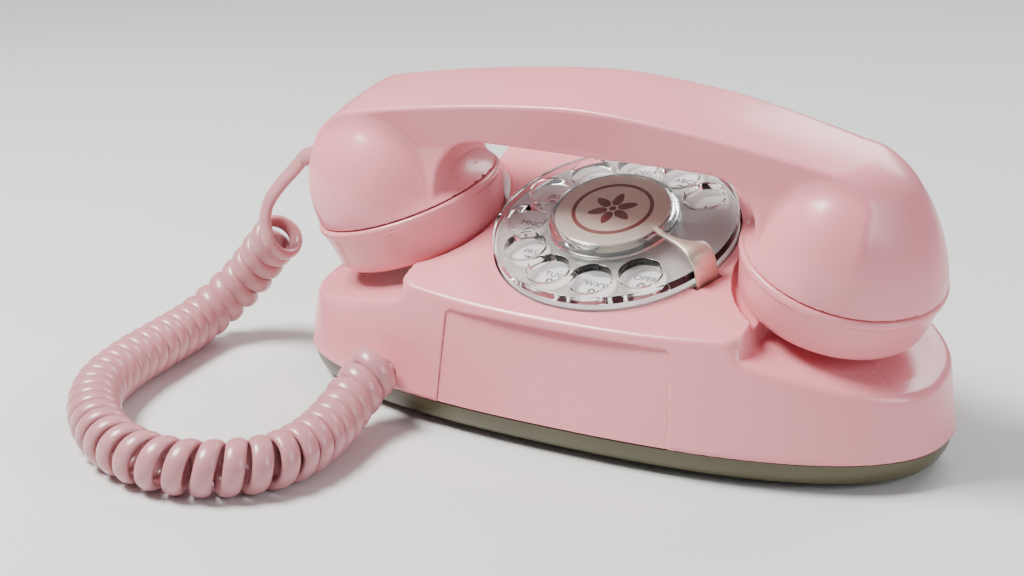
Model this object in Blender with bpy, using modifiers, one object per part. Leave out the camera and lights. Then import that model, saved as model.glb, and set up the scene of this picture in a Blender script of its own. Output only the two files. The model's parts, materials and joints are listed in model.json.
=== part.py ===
"""Compact bedroom rotary telephone. Metres, +Z up, +X along the base to its right, the user on the -Y side."""

import math

import bmesh
import bpy
from mathutils import Matrix, Vector

for old in list(bpy.data.objects):
    bpy.data.objects.remove(old)

MM = 0.001
GAP = 0.3

# Driving dimensions in millimetres and degrees.
BASE_A = 105.0  # half length
BASE_B = 46.4  # half depth
BASE_N = 2.4  # superellipse exponent of the plan
DRAFT = 0.13  # wall lean, mm inwards per mm of height
SEAM_Z = 9.3  # lower edge of the housing
WALL = 2.2
RIM_Z = 30.4  # rim of a cradle well at x 75, y at the front
WELL_TILT = 15.6
WELL_RISE = 8.4
WELL_DISH = 1.5
PLATFORM_X = 55.0  # half width of the raised middle
PLATFORM_Z = 39.1  # its height at the front edge
PLATFORM_TILT = 21.0
POCKET_X = 71.6  # centre and radius of the round pocket that a cap drops into
POCKET_Y = -2.6
POCKET_R = 31.8
DIAL_Y = -1.8
WHEEL_R = 37.2
HOLE_RING_R = 28.0
HOLE_R = 6.3
HANDSET_LEAN = 11.0
HANDSET_Y = -3.5
HANDSET_Z = 60.2  # height of the middle between the two cap seams
CUP_X = 72.4
CUP_TILT = 16.3
SEAM_R = 29.7
CAP_H = 16.5
BAND_W = 16.5  # half width of the handle's top band
COIL_R = 8.2
CORD_R = 2.4
PAN_FLOOR = 2.4

PARTS = bpy.data.collections.new("princess_rotary_phone")
CUTTERS = bpy.data.collections.new("cutters")
for group in (PARTS, CUTTERS):
    bpy.context.scene.collection.children.link(group)


# Materials

def material(name, colour, roughness=0.4, metallic=0.0, transmission=0.0):
    made = bpy.data.materials.new(name)
    made.use_nodes = True
    shader = made.node_tree.nodes["Principled BSDF"]
    shader.inputs["Base Color"].default_value = (*colour, 1.0)
    shader.inputs["Roughness"].default_value = roughness
    shader.inputs["Metallic"].default_value = metallic
    shader.inputs["Transmission Weight"].default_value = transmission
    return made


PINK = material("pink_plastic", (0.72, 0.31, 0.32), 0.35)
CORD_PINK = material("cord_pink", (0.60, 0.25, 0.27), 0.35)
OLIVE = material("olive_enamel", (0.19, 0.18, 0.07), 0.45)
CLEAR = material("clear_acrylic", (0.95, 0.97, 0.96), 0.05, 0.0, 0.9)
WHITE = material("white_plastic", (0.80, 0.80, 0.76), 0.4)
CARD = material("cream_card", (0.80, 0.68, 0.50), 0.6)
SATIN = material("satin_steel", (0.60, 0.58, 0.54), 0.3, 1.0)
STEEL = material("plated_steel", (0.50, 0.50, 0.50), 0.35, 1.0)
BRASS = material("brass", (0.70, 0.50, 0.20), 0.3, 1.0)
RUBBER = material("black_rubber", (0.03, 0.03, 0.03), 0.8)
DARK = material("dark_plastic", (0.05, 0.05, 0.055), 0.5)
COPPER = material("wound_copper", (0.45, 0.16, 0.07), 0.45, 0.6)


# Object helpers; every coordinate passed in is in millimetres.

def add_object(name, data, look, cutter=False):
    made = bpy.data.objects.new(name, data)
    if cutter:
        CUTTERS.objects.link(made)
        made.hide_render = True
        made.display_type = "WIRE"
    else:
        PARTS.objects.link(made)
        data.materials.append(look)
    return made


def finish_mesh(name, bm, look, matrix=None, smooth=False, cutter=False):
    bmesh.ops.recalc_face_normals(bm, faces=bm.faces)
    if matrix is not None:
        bm.transform(matrix)
    bm.transform(Matrix.Scale(MM, 4))
    mesh = bpy.data.meshes.new(name)
    bm.to_mesh(mesh)
    bm.free()
    for face in mesh.polygons:
        face.use_smooth = smooth
    return add_object(name, mesh, look, cutter)


def loft(name, rings, look=None, matrix=None, smooth=False, cutter=False, closed=False):
    """Joins rings of equal point counts, with a face over the first and the last unless closed."""
    bm = bmesh.new()
    rows = [[bm.verts.new(point) for point in ring] for ring in rings]
    count = len(rows[0])
    pairs = list(zip(rows, rows[1:]))
    if closed:
        pairs.append((rows[-1], rows[0]))
    for lower, upper in pairs:
        for i in range(count):
            j = (i + 1) % count
            bm.faces.new((lower[i], lower[j], upper[j], upper[i]))
    if not closed:
        bm.faces.new(rows[0][::-1])
        bm.faces.new(rows[-1])
    return finish_mesh(name, bm, look, matrix, smooth, cutter)


def lathe(name, profile, look=None, steps=32, matrix=None, ring=False, cutter=False):
    """Turns (radius, height) points, given down the outer side, round Z. A ring profile closes on itself."""
    mesh = bpy.data.meshes.new(name)
    points = [(r * MM, 0.0, h * MM) for r, h in profile]
    edges = [(i, i + 1) for i in range(len(points) - 1)]
    if ring:
        edges.append((len(points) - 1, 0))
    mesh.from_pydata(points, edges, [])
    made = add_object(name, mesh, look, cutter)
    screw = made.modifiers.new("turn", "SCREW")
    screw.steps = steps
    screw.render_steps = steps
    screw.use_merge_vertices = True
    screw.merge_threshold = 0.00001
    screw.use_smooth_shade = True
    if matrix is not None:
        place = matrix.copy()
        place.translation = matrix.translation * MM
        made.matrix_world = place
    return made


def disc(name, radius, low, high, look=None, steps=32, matrix=None, cutter=False, bore=0.0):
    if bore:
        profile = [(radius, high), (radius, low), (bore, low), (bore, high)]
        return lathe(name, profile, look, steps, matrix, True, cutter)
    profile = [(0, high), (radius, high), (radius, low), (0, low)]
    return lathe(name, profile, look, steps, matrix, False, cutter)


def box(name, low, high, look=None, matrix=None, cutter=False, bevel=0.0):
    bm = bmesh.new()
    size = [b - a for a, b in zip(low, high)]
    middle = [(a + b) / 2 for a, b in zip(low, high)]
    bmesh.ops.create_cube(bm, size=1.0, matrix=Matrix.Translation(middle) @ Matrix.Diagonal((*size, 1.0)))
    made = finish_mesh(name, bm, look, matrix, False, cutter)
    if bevel:
        edge = made.modifiers.new("edge", "BEVEL")
        edge.width = bevel * MM
        edge.segments = 2
    return made


def cut(target, other, operation="DIFFERENCE"):
    made = target.modifiers.new(other.name, "BOOLEAN")
    made.operation = operation
    made.solver = "EXACT"
    made.object = other
    return made


def tube(name, points, radius, look, resolution=3):
    curve = bpy.data.curves.new(name, "CURVE")
    curve.dimensions = "3D"
    curve.bevel_depth = radius * MM
    curve.bevel_resolution = resolution
    curve.use_fill_caps = True
    line = curve.splines.new("POLY")
    line.points.add(len(points) - 1)
    for target, point in zip(line.points, points):
        target.co = (*[value * MM for value in point], 1.0)
    return add_object(name, curve, look)


def joined(name, pieces, look, matrix=None):
    """One solid from several overlapping boxes or discs given as cutter objects."""
    first, *others = pieces
    CUTTERS.objects.unlink(first)
    PARTS.objects.link(first)
    first.name = name
    first.hide_render = False
    first.display_type = "TEXTURED"
    first.data.materials.append(look)
    for other in others:
        cut(first, other, "UNION")
    return first


def smooth_path(points, count):
    """Points at equal steps of length on a Catmull-Rom curve through the given points."""
    dense = []
    ends = [Vector(points[0]) * 2 - Vector(points[1]), *map(Vector, points)]
    ends.append(ends[-1] * 2 - ends[-2])
    for p, q, r, s in zip(ends, ends[1:], ends[2:], ends[3:]):
        for k in range(12):
            t = k / 12
            dense.append(
                0.5 * (2 * q + (r - p) * t + (2 * p - 5 * q + 4 * r - s) * t * t
                       + (3 * q - p - 3 * r + s) * t**3)
            )
    dense.append(Vector(points[-1]))
    length = [0.0]
    for a, b in zip(dense, dense[1:]):
        length.append(length[-1] + (b - a).length)
    found = []
    k = 0
    for i in range(count):
        wanted = length[-1] * i / (count - 1)
        while k < len(length) - 2 and length[k + 1] < wanted:
            k += 1
        share = (wanted - length[k]) / (length[k + 1] - length[k])
        found.append(dense[k].lerp(dense[k + 1], min(max(share, 0.0), 1.0)))
    return found


def turn(axis, degrees):
    return Matrix.Rotation(math.radians(degrees), 4, axis)


def toward(start, direction):
    """A frame at start whose Z points along direction."""
    return Matrix.Translation(start) @ Vector(direction).to_track_quat("Z", "Y").to_matrix().to_4x4()


# Shared surfaces

def outline(a, b, z, count=56):
    """A superellipse ring of half sizes a and b."""
    ring = []
    for i in range(count):
        angle = 2 * math.pi * (i + 0.5) / count
        c = math.cos(angle)
        s = math.sin(angle)
        x = math.copysign(abs(c) ** (2 / BASE_N), c) * a
        y = math.copysign(abs(s) ** (2 / BASE_N), s) * b
        ring.append((x, y, z))
    return ring


def wall_inset(z):
    return DRAFT * (z - SEAM_Z)


def front_wall_y(x, z):
    a = BASE_A - wall_inset(z)
    b = BASE_B - wall_inset(z)
    return -b * (1 - abs(x / a) ** BASE_N) ** (1 / BASE_N)


def platform_z(y):
    return PLATFORM_Z + (y + BASE_B) * math.tan(math.radians(PLATFORM_TILT))


def well_z(x, y):
    plane = RIM_Z - (abs(x) - 75) * math.tan(math.radians(WELL_TILT))
    plane += (y + 43.7) * math.tan(math.radians(WELL_RISE))
    far = math.hypot(abs(x) - 70, y) / 27
    return plane - WELL_DISH * max(0.0, 1 - far * far)


DIAL = Matrix.Translation((0, DIAL_Y, platform_z(DIAL_Y))) @ turn("X", PLATFORM_TILT)
HANDSET = Matrix.Translation((0, HANDSET_Y, HANDSET_Z)) @ turn("X", HANDSET_LEAN)
CUPS = {
    side: HANDSET @ Matrix.Translation((sign * CUP_X, 0, 0)) @ turn("Y", sign * CUP_TILT)
    for side, sign in (("left", -1), ("right", 1))
}


# Base pan: a rounded tray with holes for the feet, the screws, the wheel and the sound.
outer = [(PAN_FLOOR, 10.5), (2.9, 7.2), (4.2, 4.1), (6.2, 2.0), (9.0, 0.9)]
inner = [(9.0, 2.3), (6.6, 3.2), (4.8, 5.4), (3.6, 11.0)]
base_pan = loft(
    "base_pan", [outline(BASE_A - k, BASE_B - k, z) for z, k in outer + inner], OLIVE, smooth=True
)
FEET = {
    "front_left": (-74, -18), "front_right": (74, -18), "back_left": (-74, 18), "back_right": (74, 18)
}
for place, (x, y) in FEET.items():
    at = Matrix.Translation((x, y, 0))
    cut(base_pan, disc(f"cut_foot_{place}", 2.5, 1, 6, steps=12, matrix=at, cutter=True))
    lathe(
        f"foot_{place}",
        [(0, 6), (2.4, 5.6), (3.2, 3.9), (2.2, 3.9), (2.2, 2.1), (6.5, 2.1), (6.5, 0.8), (5.6, 0), (0, 0)],
        RUBBER, 12, at,
    )
SCREWS = {"left": (-46, -31), "right": (46, -31)}
for side, (x, y) in SCREWS.items():
    at = Matrix.Translation((x, y, 0))
    cut(base_pan, disc(f"cut_screw_{side}", 2.1, 1, 6, steps=12, matrix=at, cutter=True))
    lathe(
        f"housing_screw_{side}",
        [(0, 24), (1.7, 23), (1.7, 2.1), (3.4, 2.1), (3.4, 1.0), (2.6, 0.5), (1.2, 0.5), (1.2, 1.2), (0, 1.2)],
        STEEL, 10, at,
    )
for i in range(5):
    y = 4 * i
    slot = box(f"cut_sound_{i}", (40, y - 1.1, 1), (60, y + 1.1, 6), cutter=True)
    cut(base_pan, slot)
WHEEL_AT = Matrix.Translation((57, -20, 0))
cut(base_pan, disc("cut_volume", 8.4, 1, 6, steps=20, matrix=WHEEL_AT, cutter=True))


# Housing

def well_block(name, sign, offset):
    """Everything above a cradle well, lowered by offset and widened by it towards the middle."""
    columns = [PLATFORM_X - offset, 62, 70, 78, 86, 94, 102, 112]
    rows = [-52, -44, -34, -24, -12, 0, 12, 24, 34, 44, 52]
    bm = bmesh.new()
    floor = [[bm.verts.new((sign * x, y, well_z(x, y) - offset)) for y in rows] for x in columns]
    roof = [[bm.verts.new((sign * x, y, 120)) for y in rows] for x in columns]
    for grid in (floor, roof):
        for a, b in zip(grid, grid[1:]):
            for i in range(len(rows) - 1):
                bm.faces.new((a[i], a[i + 1], b[i + 1], b[i]))
    rim = [(i, 0) for i in range(len(columns))]
    rim += [(len(columns) - 1, j) for j in range(1, len(rows))]
    rim += [(i, len(rows) - 1) for i in range(len(columns) - 2, -1, -1)]
    rim += [(0, j) for j in range(len(rows) - 2, 0, -1)]
    for (i, j), (k, m) in zip(rim, rim[1:] + rim[:1]):
        bm.faces.new((floor[i][j], floor[k][m], roof[k][m], roof[i][j]))
    return finish_mesh(name, bm, None, cutter=True)


def cap_pocket(name, side, sign, offset):
    """An upright round pocket that ends on the plane just under the cap's face."""
    low = CUPS[side] @ Vector((0, 0, -CAP_H - GAP - offset))
    up = CUPS[side].to_3x3() @ Vector((0, 0, 1))
    floor = []
    for i in range(36):
        angle = 2 * math.pi * i / 36
        x = sign * POCKET_X + (POCKET_R + offset) * math.cos(angle)
        y = POCKET_Y + (POCKET_R + offset) * math.sin(angle)
        floor.append((x, y, low.z - (up.x * (x - low.x) + up.y * (y - low.y)) / up.z))
    return loft(name, [floor, [(x, y, 120) for x, y, _ in floor]], cutter=True)


def trim_top(target, tag, offset):
    """Cuts the platform plane, both wells and both cap pockets, each moved in by offset."""
    lid = box(f"cut_{tag}_platform", (-130, -80, -offset), (130, 80, 120), matrix=DIAL, cutter=True)
    cut(target, lid)
    for side, sign in (("left", -1), ("right", 1)):
        cut(target, well_block(f"cut_{tag}_well_{side}", sign, offset))
        cut(target, cap_pocket(f"cut_{tag}_pocket_{side}", side, sign, offset))


def body_rings(offset, low):
    """The drafted body from low to above everything."""
    rings = []
    for z in (low, 95):
        k = wall_inset(z) + offset
        rings.append(outline(BASE_A - k, BASE_B - k, z))
    return rings


housing = loft("housing", body_rings(0, SEAM_Z), PINK)
trim_top(housing, "outer", 0)
cavity = loft("cut_cavity", body_rings(WALL, SEAM_Z - 3), cutter=True)
trim_top(cavity, "inner", WALL)
cut(housing, cavity)

# The screw posts and the plunger collars.
for side, (x, y) in SCREWS.items():
    at = Matrix.Translation((x, y, 0))
    cut(housing, disc(f"add_post_{side}", 4, 4.8, 43.3, steps=12, matrix=at, cutter=True), "UNION")
    cut(housing, disc(f"cut_post_{side}", 2, 1, 26, steps=10, matrix=at, cutter=True))
PLUNGER_X = CUP_X - CAP_H * math.sin(math.radians(CUP_TILT))
PLUNGER_Y = -0.5
for side, sign in (("left", -1), ("right", 1)):
    at = Matrix.Translation((sign * PLUNGER_X, PLUNGER_Y, 0))
    cut(housing, disc(f"add_collar_{side}", 7, 35, 40.4, steps=14, matrix=at, cutter=True), "UNION")
    cut(housing, disc(f"cut_plunger_{side}", 3.6, 28, 50, steps=14, matrix=at, cutter=True))

# The dial opening and the slot of the finger stop.
STOP_ANGLE = -29.0
STOP = DIAL @ turn("Z", STOP_ANGLE)
cut(housing, disc("cut_dial", 37.6, -6, 12, steps=40, matrix=DIAL, cutter=True))
cut(housing, box("cut_stop", (36.6, -0.7, -6), (40.0, 8.7, 8), matrix=STOP, cutter=True))


def recess_block():
    """The shallow front recess: the wall moved in, most at the middle of its upper edge."""
    shares = [i / 5 - 1 for i in range(11)]
    zs = [8, 14, 20, 26, 32, 37.9]
    bm = bmesh.new()
    back = []
    front = []
    for z in zs:
        rise = min(max((z - 14) / 24, 0.0), 1.0)
        xs = [-0.5 + (37.9 - 0.055 * (z - 8)) * share for share in shares]
        depth = [0.45 + 1.5 * rise * (1 - share**2) for share in shares]
        back.append([bm.verts.new((x, front_wall_y(x, z) + d, z)) for x, d in zip(xs, depth)])
        front.append([bm.verts.new((x, -60, z)) for x in xs])
    for grid in (back, front):
        for a, b in zip(grid, grid[1:]):
            for i in range(len(xs) - 1):
                bm.faces.new((a[i], a[i + 1], b[i + 1], b[i]))
    rim = [(0, i) for i in range(len(xs))]
    rim += [(j, len(xs) - 1) for j in range(1, len(zs))]
    rim += [(len(zs) - 1, i) for i in range(len(xs) - 2, -1, -1)]
    rim += [(j, 0) for j in range(len(zs) - 2, 0, -1)]
    for (i, j), (k, m) in zip(rim, rim[1:] + rim[:1]):
        bm.faces.new((back[i][j], back[k][m], front[k][m], front[i][j]))
    return finish_mesh("cut_recess", bm, None, cutter=True)


cut(housing, recess_block())

# Cord exits and the slider slot.
CORD_EXIT = Vector((-57.5, front_wall_y(-57.5, 14), 14))
CORD_OUT = Vector((-0.2, -0.98, 0.0)).normalized()
BASE_RELIEF = toward(CORD_EXIT, CORD_OUT)
cut(housing, disc("cut_cord_exit", 3.5, -8, 8, steps=12, matrix=BASE_RELIEF, cutter=True))
INLET = toward((38, -front_wall_y(38, 16), 16), (0.09, 1, 0))
cut(housing, disc("cut_inlet", 5.0, -8, 8, steps=14, matrix=INLET, cutter=True))
SLIDER_Y = -front_wall_y(-40, 20)
cut(housing, box("cut_slider", (-47, SLIDER_Y - 6, 18), (-33, SLIDER_Y + 6, 22.4), cutter=True))


# Interior of the base
box("ballast_weight", (-84, -14, 3.9), (-54, 14, 9.4), STEEL, bevel=0.8)
network = box("network_block", (-40, -16, 3.9), (6, 16, 20), DARK, bevel=1.0)
for i in range(4):
    for j, y in enumerate((-11, 11)):
        at = Matrix.Translation((-34 + 11 * i, y, 0))
        cut(network, disc(f"add_screw_{i}_{j}", 2.2, 18, 21.6, steps=6, matrix=at, cutter=True), "UNION")
ringer = box("ringer_bracket", (14, -10, 3.9), (66, 18, 5.5), STEEL)
GONG_AT = Matrix.Translation((49, 8, 0))
cut(ringer, disc("add_gong_post", 2, 4.5, 15.5, steps=12, matrix=GONG_AT, cutter=True), "UNION")
PIVOT_AT = Matrix.Translation((30.5, -6, 0))
cut(ringer, disc("add_pivot", 1.2, 4.5, 13, steps=10, matrix=PIVOT_AT, cutter=True), "UNION")
for i in range(3):
    y = 4 * i
    cut(ringer, box(f"cut_ringer_{i}", (38, y - 1.1, 2), (45.5, y + 1.1, 8), cutter=True))
lathe(
    "ringer_gong",
    [(0, 17), (8, 16.7), (13, 14.5), (15, 11), (15, 7), (14, 7), (14, 10.8), (12.3, 13.6), (8, 15.6), (0, 15.8)],
    BRASS, 22, GONG_AT,
)
lathe(
    "ringer_coil",
    [(0, 21), (6.5, 21), (6.5, 19.8), (5.2, 19.8), (5.2, 7.4), (6.5, 7.4), (6.5, 5.8), (0, 5.8)],
    COPPER, 16, Matrix.Translation((22, 8, 0)),
)
clapper = disc("add_hub", 2.4, 8, 11, steps=14, matrix=PIVOT_AT, cutter=True, bore=1.5)
clapper = joined(
    "ringer_clapper",
    [
        clapper,
        box("add_arm", (30.2, -4.2, 8.8), (31.6, 9, 10.2), cutter=True),
        disc("add_ball", 1.8, 7.8, 11.2, steps=14, matrix=Matrix.Translation((31.6, 9.5, 0)), cutter=True),
    ],
    BRASS,
)
volume = lathe(
    "ringer_volume_wheel",
    [(0, 7), (2, 7), (2, 4.6), (8, 4.6), (8, 1.6), (7.4, 1.1), (0, 1.1)], DARK, 20, WHEEL_AT,
)
for i in range(8):
    at = WHEEL_AT @ turn("Z", 45 * i) @ Matrix.Translation((8.3, 0, 0))
    cut(volume, disc(f"cut_notch_{i}", 1.0, 0, 3.2, steps=6, matrix=at, cutter=True))
lathe(
    "line_cord_inlet",
    [(4.6, 0.6), (4.6, -3.0), (5.8, -3.0), (5.8, -4.6), (2.6, -4.6), (2.6, 0.6)], DARK, 14, INLET, True,
)
lathe(
    "base_cord_relief",
    [(0, 2.4), (2.6, 2.4), (3.1, 0.6), (3.1, -2.9), (4.6, -2.9), (4.6, -4.6), (0, -4.6)],
    CORD_PINK, 14, BASE_RELIEF,
)
slider = joined(
    "nightlight_slider",
    [
        box("add_knob", (-46.4, SLIDER_Y - 5.4, 18.4), (-41.4, SLIDER_Y + 1.3, 22.0), cutter=True),
        box("add_plate", (-49, SLIDER_Y - 6.2, 16.8), (-36, SLIDER_Y - 5.0, 23.6), cutter=True),
    ],
    WHITE,
)

# Cradle switch
for side, sign in (("left", -1), ("right", 1)):
    lathe(
        f"plunger_{side}",
        [(0, 43.9), (1.7, 43.6), (2.8, 42.6), (3.2, 41), (3.2, 28), (4.6, 28), (4.6, 26), (3.2, 26),
         (3.2, 22), (0, 22)],
        WHITE, 14, Matrix.Translation((sign * PLUNGER_X, PLUNGER_Y, 0)),
    )
BAIL_Y = 29.0
BAIL_Z = 20.2
bail_points = [
    (-PLUNGER_X, -3, BAIL_Z), (-PLUNGER_X, BAIL_Y - 2, BAIL_Z), (-PLUNGER_X + 2, BAIL_Y, BAIL_Z),
    (PLUNGER_X - 2, BAIL_Y, BAIL_Z), (PLUNGER_X, BAIL_Y - 2, BAIL_Z), (PLUNGER_X, -3, BAIL_Z),
]
tube("switch_bail", bail_points, 1.4, STEEL, 2)
bracket = joined(
    "switch_bracket",
    [
        box("add_foot", (-22, BAIL_Y - 5, 3.9), (34, BAIL_Y + 4, 5.5), cutter=True),
        box("add_ear_a", (-20, BAIL_Y - 4, 4.5), (-18, BAIL_Y + 4, 25), cutter=True),
        box("add_ear_b", (18, BAIL_Y - 4, 4.5), (20, BAIL_Y + 4, 25), cutter=True),
    ],
    STEEL,
)
across = turn("Y", 90)
hole = disc("cut_ears", 1.8, -40, 40, steps=14, matrix=Matrix.Translation((0, BAIL_Y, BAIL_Z)) @ across,
            cutter=True)
cut(bracket, hole)
springs = joined(
    "switch_springs",
    [
        box("add_stack", (23, BAIL_Y - 4, 5.8), (33, BAIL_Y + 3, 11), cutter=True),
        box("add_blade_a", (24, BAIL_Y - 3, 10), (24.6, BAIL_Y + 2, 17.6), cutter=True),
        box("add_blade_b", (27, BAIL_Y - 3, 10), (27.6, BAIL_Y + 2, 17.6), cutter=True),
        box("add_blade_c", (30, BAIL_Y - 3, 10), (30.6, BAIL_Y + 2, 17.6), cutter=True),
    ],
    BRASS,
)


# Dial, in the frame of its tilted plane
disc("number_plate", 36.8, -1.2, 0.4, WHITE, 40, DIAL, bore=7.0)
mount = disc("dial_bracket", 36.6, -4.6, -3.0, STEEL, 32, DIAL, bore=8.0)
cut(mount, box("add_stop_tab", (32, -1.6, -4.6), (40.4, 8.0, -3.0), matrix=STOP, cutter=True), "UNION")
cut(mount, box("cut_stop_tab", (37.9, -0.2, -6), (39.6, 8.2, 0), matrix=STOP, cutter=True))
LAMP = DIAL @ Matrix.Translation((0, 31.6, 0))
cut(mount, disc("cut_lamp", 3.2, -6, 0, steps=14, matrix=LAMP, cutter=True))
for i, (x, y) in enumerate(((-24, 21), (24, 21), (0, -33))):
    foot = disc(f"add_leg_{i}", 2.4, 3.9, platform_z(y) - 4.0, steps=12,
                matrix=Matrix.Translation((x, y, 0)), cutter=True)
    cut(mount, foot, "UNION")
CASE_LOW = -17.0
lathe(
    "dial_case",
    [(0, CASE_LOW + 1.5), (25, CASE_LOW + 1.5), (25, -4.9), (26.5, -4.9), (26.5, CASE_LOW), (0, CASE_LOW)],
    SATIN, 28, DIAL,
)
lathe(
    "dial_shaft",
    [(0, 6.8), (8, 6.8), (8, 5.2), (3, 5.2), (3, -14.5), (0, -14.5)], STEEL, 14, DIAL,
)


def gear_ring(radius, teeth, z, phase=0.0):
    """A ring of blunt teeth whose first one is centred on the phase angle."""
    ring = []
    for i in range(teeth):
        for share, r in (
            (-0.225, radius - TOOTH_H), (-0.1, radius), (0.1, radius), (0.225, radius - TOOTH_H)
        ):
            angle = 2 * math.pi * (i + share) / teeth + phase
            ring.append((r * math.cos(angle), r * math.sin(angle), z))
    return ring


TOOTH_H = 1.7
GEAR_TEETH = 30
PINION_TEETH = 8
GEAR_TOP, GEAR_LOW = -7.4, -9.4
facing = math.pi * (1 + 1 / PINION_TEETH)
main_gear = loft("main_gear", [gear_ring(15.7, GEAR_TEETH, z) for z in (GEAR_LOW, GEAR_TOP)], BRASS, DIAL)
cut(main_gear, disc("cut_gear", 3.3, -12, -5, steps=14, matrix=DIAL, cutter=True))
PINION = DIAL @ turn("Z", 9 * 360 / GEAR_TEETH) @ Matrix.Translation((19, 0, 0))
pinion = loft(
    "pulse_pinion", [gear_ring(4.7, PINION_TEETH, z, facing) for z in (GEAR_LOW, GEAR_TOP)], STEEL, PINION
)
cut(pinion, box("add_cam", (-2.9, -1.0, -13), (2.9, 1.0, -8.5), matrix=PINION, cutter=True), "UNION")
GOVERNOR = DIAL @ turn("Z", -60) @ Matrix.Translation((18.5, 0, 0))
lathe(
    "governor_rotor",
    [(0, -11), (2, -11), (2, -12), (5, -12), (5, -13.4), (2, -13.4), (2, -15), (0, -15)],
    BRASS, 16, GOVERNOR,
)
pulse = joined(
    "pulse_springs",
    [
        box("add_pulse_stack", (6.5, 16.5, -15.2), (13, 21, -11), matrix=DIAL, cutter=True),
        box("add_pulse_a", (2, 17.2, -13.6), (8, 17.7, -12), matrix=DIAL, cutter=True),
        box("add_pulse_b", (2, 19.2, -13.6), (8, 19.7, -12), matrix=DIAL, cutter=True),
    ],
    BRASS,
)

wheel_low = 2.0
wheel_high = 4.7
wheel = lathe(
    "finger_wheel",
    [(3.4, wheel_high), (36.7, wheel_high), (WHEEL_R, wheel_high - 0.5), (WHEEL_R, wheel_low + 0.4),
     (36.8, wheel_low), (3.4, wheel_low)],
    CLEAR, 44, DIAL, True,
)
for i in range(10):
    at = DIAL @ turn("Z", -50 - 30 * i) @ Matrix.Translation((HOLE_RING_R, 0, 0))
    cut(wheel, disc(f"cut_finger_{i}", HOLE_R, 0, 8, steps=14, matrix=at, cutter=True))
lathe(
    "number_card",
    [(0, 8.4), (16.9, 8.4), (17.4, 8.0), (17.4, 5.6), (16.6, 5.6), (16.6, 7.6), (0, 7.6)], CARD, 24, DIAL,
)
lathe(
    "dial_hub",
    [(0, 9.9), (13, 9.8), (17.6, 9.2), (19.5, 7.9), (20.4, 5.0), (17.8, 5.0), (17.75, 8.5), (17.0, 8.75),
     (0, 8.8)],
    CLEAR, 26, DIAL,
)

# Finger stop: a strip that stands in its slot, bends over the wheel and narrows to a tip.
STOP_SPINE = [
    # outwards, height, then the strip's two sides
    (38.75, -3.9, 0.1, 7.9), (38.75, 5.2, 0.1, 7.9), (38.2, 7.6, 0.1, 7.9), (36.8, 9.4, 0.1, 7.8),
    (34.8, 10.4, 0.3, 7.4), (32.5, 10.7, 0.5, 4.8), (29.8, 10.8, 0.6, 3.1), (26.0, 10.6, 0.6, 2.5),
    (22.5, 10.3, 0.6, 2.2), (18.8, 10.4, 0.9, 2.4),
]
rings = []
for i, (x, z, low_y, high_y) in enumerate(STOP_SPINE):
    before = STOP_SPINE[max(i - 1, 0)]
    after = STOP_SPINE[min(i + 1, len(STOP_SPINE) - 1)]
    along = Vector((after[0] - before[0], after[1] - before[1])).normalized() * 0.55
    rings.append([
        (x + along.y, low_y, z - along.x), (x + along.y, high_y, z - along.x),
        (x - along.y, high_y, z + along.x), (x - along.y, low_y, z + along.x),
    ])
finger_stop = loft("finger_stop", rings, SATIN, matrix=STOP)

# Night light under the number plate
lathe("night_lamp", [(0, -1.6), (1.8, -2.2), (2.6, -4), (2.6, -9), (0, -9)], CLEAR, 12, LAMP)
lathe("lamp_socket", [(0, -9.3), (3.6, -9.3), (3.6, -16), (0, -16)], BRASS, 12, LAMP)


# Handset, in its own frame: stations of the band's middle line with the grip's inner line.
STATIONS = [
    # outer x, outer z, half width, its bow, inner x, inner z, half width
    (100.9, -7.6, 14.6, 4.4, 50.6, 6.9, 14.6),
    (100.9, 2.0, 15.2, 5.4, 50.1, 10.5, 14.6),
    (98.8, 12.0, 15.8, 7.2, 48.9, 15.5, 14.5),
    (94.7, 21.2, 16.3, 8.0, 46.3, 20.4, 14.4),
    (91.1, 26.0, 16.5, 7.2, 44.4, 22.6, 14.3),
    (86.6, 29.3, BAND_W, 4.4, 42.2, 24.3, 14.2),
    (79.6, 31.7, BAND_W, 2.0, 38.8, 25.7, 14.0),
    (66.4, 35.1, BAND_W, 0.9, 33.0, 26.4, 14.0),
    (48.4, 38.7, BAND_W, 0.9, 24.0, 26.7, 14.0),
    (28.3, 41.2, BAND_W, 0.9, 14.0, 26.8, 14.0),
    (9.1, 42.6, BAND_W, 0.9, 4.6, 26.9, 14.0),
]


def handle_ring(station, sign):
    ox, oz, ow, bow, ix, iz, iw = station
    span = Vector((ix - ox, iz - oz)).normalized()
    chamfer = 2.2
    ring = []
    for share in (-1.0, -0.55, 0.0, 0.55, 1.0):
        back = bow * share**2
        ring.append((sign * (ox + back * span.x), ow * share, oz + back * span.y))
    near = (ix - chamfer * span.x, iz - chamfer * span.y)
    ring += [(sign * near[0], iw, near[1]), (sign * ix, iw - chamfer, iz)]
    ring += [(sign * ix, -iw + chamfer, iz), (sign * near[0], -iw, near[1])]
    return ring


handle_rings = [handle_ring(station, -1) for station in STATIONS]
handle_rings += [handle_ring(station, 1) for station in reversed(STATIONS)]
handset_shell = loft("handset_shell", handle_rings, PINK, HANDSET)

DOME = [
    # height along the cup axis, outer end, inner end, half depth
    (0.0, SEAM_R, -SEAM_R, SEAM_R), (4.0, 28.6, -29.4, 29.5), (9.7, 25.8, -28.2, 28.4),
    (14.5, 23.2, -26.6, 26.6), (18.7, 20.4, -24.6, 24.4), (23.0, 16.6, -22.0, 21.4),
    (26.6, 12.6, -19.0, 18.0), (29.0, 6.0, -12.0, 11.0),
]


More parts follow.
